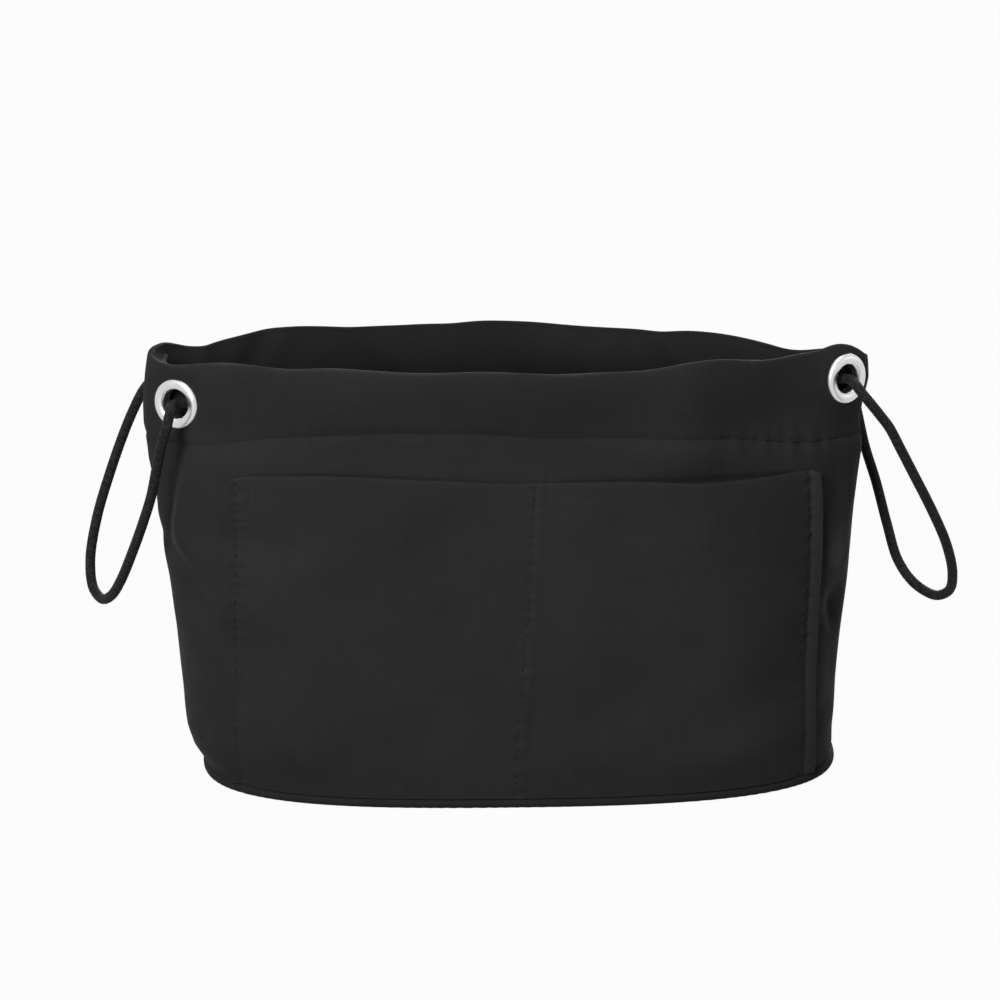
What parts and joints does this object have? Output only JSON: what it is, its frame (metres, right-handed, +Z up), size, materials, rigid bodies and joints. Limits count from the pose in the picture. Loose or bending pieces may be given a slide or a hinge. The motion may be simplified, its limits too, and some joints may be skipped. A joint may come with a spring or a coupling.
{
  "type": "purse organizer insert",
  "caption": "Open drawstring organizer bag of black nylon with a stiff oval base, a two-compartment front pocket and cord loops that close its mouth.",
  "frame": {"origin": "middle of the base's underside, on the surface that the organizer stands on", "axes": "+Z up, +X along the width to the right seen from the front, -Y towards the front with the pocket"},
  "size_m": [0.262, 0.0912, 0.1283],
  "materials": {
    "shell_nylon": "fine plain-weave black nylon with a slight sheen",
    "lining_nylon": "thin black nylon lining",
    "piping_nylon": "black nylon wrapped round a piping cord",
    "braided_cord": "black round braid",
    "nickel_plate": "bright nickel plate",
    "base_board": "plain stiff sheet"
  },
  "bodies": {
    "bag": {"base_panel": "shell_nylon", "base_board": "base_board", "base_lining": "lining_nylon", "base_piping": "piping_nylon", "front_panel": "shell_nylon", "front_lining": "lining_nylon", "back_panel": "shell_nylon", "back_lining": "lining_nylon", "front_pocket": "shell_nylon"},
    "front_left_band": {"front_left_casing": "shell_nylon", "front_left_eyelet": "nickel_plate", "front_left_washer": "nickel_plate", "front_left_cord": "braided_cord"},
    "front_right_band": {"front_right_casing": "shell_nylon", "front_right_eyelet": "nickel_plate", "front_right_washer": "nickel_plate", "front_right_cord": "braided_cord"},
    "back_left_band": {"back_left_casing": "shell_nylon", "back_left_eyelet": "nickel_plate", "back_left_washer": "nickel_plate", "back_left_cord": "braided_cord"},
    "back_right_band": {"back_right_casing": "shell_nylon", "back_right_eyelet": "nickel_plate", "back_right_washer": "nickel_plate", "back_right_cord": "braided_cord"},
    "left_loop_legs": {"left_loop_front_leg": "braided_cord", "left_loop_back_leg": "braided_cord"},
    "left_loop_end": {"left_loop_bight": "braided_cord"},
    "right_loop_legs": {"right_loop_front_leg": "braided_cord", "right_loop_back_leg": "braided_cord"},
    "right_loop_end": {"right_loop_bight": "braided_cord"}
  },
  "joints": [
    {"name": "mouth_front_left", "type": "hinge", "parent": "bag", "child": "front_left_band", "pos_m": [-0.1066, -0.014, 0.118], "axis": [0, 0, 1], "range_deg": [0, 11.5]},
    {"name": "mouth_front_right", "type": "hinge", "parent": "bag", "child": "front_right_band", "pos_m": [0.1066, -0.014, 0.118], "axis": [0, 0, -1], "range_deg": [0, 11.5]},
    {"name": "mouth_back_left", "type": "hinge", "parent": "bag", "child": "back_left_band", "pos_m": [-0.1066, 0.014, 0.118], "axis": [0, 0, -1], "range_deg": [0, 11.5]},
    {"name": "mouth_back_right", "type": "hinge", "parent": "bag", "child": "back_right_band", "pos_m": [0.1066, 0.014, 0.118], "axis": [0, 0, 1], "range_deg": [0, 11.5]},
    {"name": "left_loop_swing", "type": "hinge", "parent": "bag", "child": "left_loop_legs", "pos_m": [-0.0998, 0, 0.116], "axis": [0, 1, 0], "range_deg": [0, 150]},
    {"name": "left_loop_pull", "type": "slide", "parent": "left_loop_legs", "child": "left_loop_end", "axis": [-0.2571, 0, -0.9664], "range_m": [0, 0.018]},
    {"name": "right_loop_swing", "type": "hinge", "parent": "bag", "child": "right_loop_legs", "pos_m": [0.10088, 0, 0.11729], "axis": [0.0128, -0.9918, 0.1275], "range_deg": [0, 150]},
    {"name": "right_loop_pull", "type": "slide", "parent": "right_loop_legs", "child": "right_loop_end", "axis": [0.3697, 0, -0.9292], "range_m": [0, 0.018]}
  ],
  "couplings": [
    {"joint": "mouth_front_right", "follows": "mouth_front_left", "ratio": 1},
    {"joint": "mouth_back_left", "follows": "mouth_front_left", "ratio": 1},
    {"joint": "mouth_back_right", "follows": "mouth_front_left", "ratio": 1},
    {"joint": "left_loop_pull", "follows": "mouth_front_left", "m_per_rad": 0.0896},
    {"joint": "right_loop_pull", "follows": "mouth_front_left", "m_per_rad": 0.0896}
  ]
}
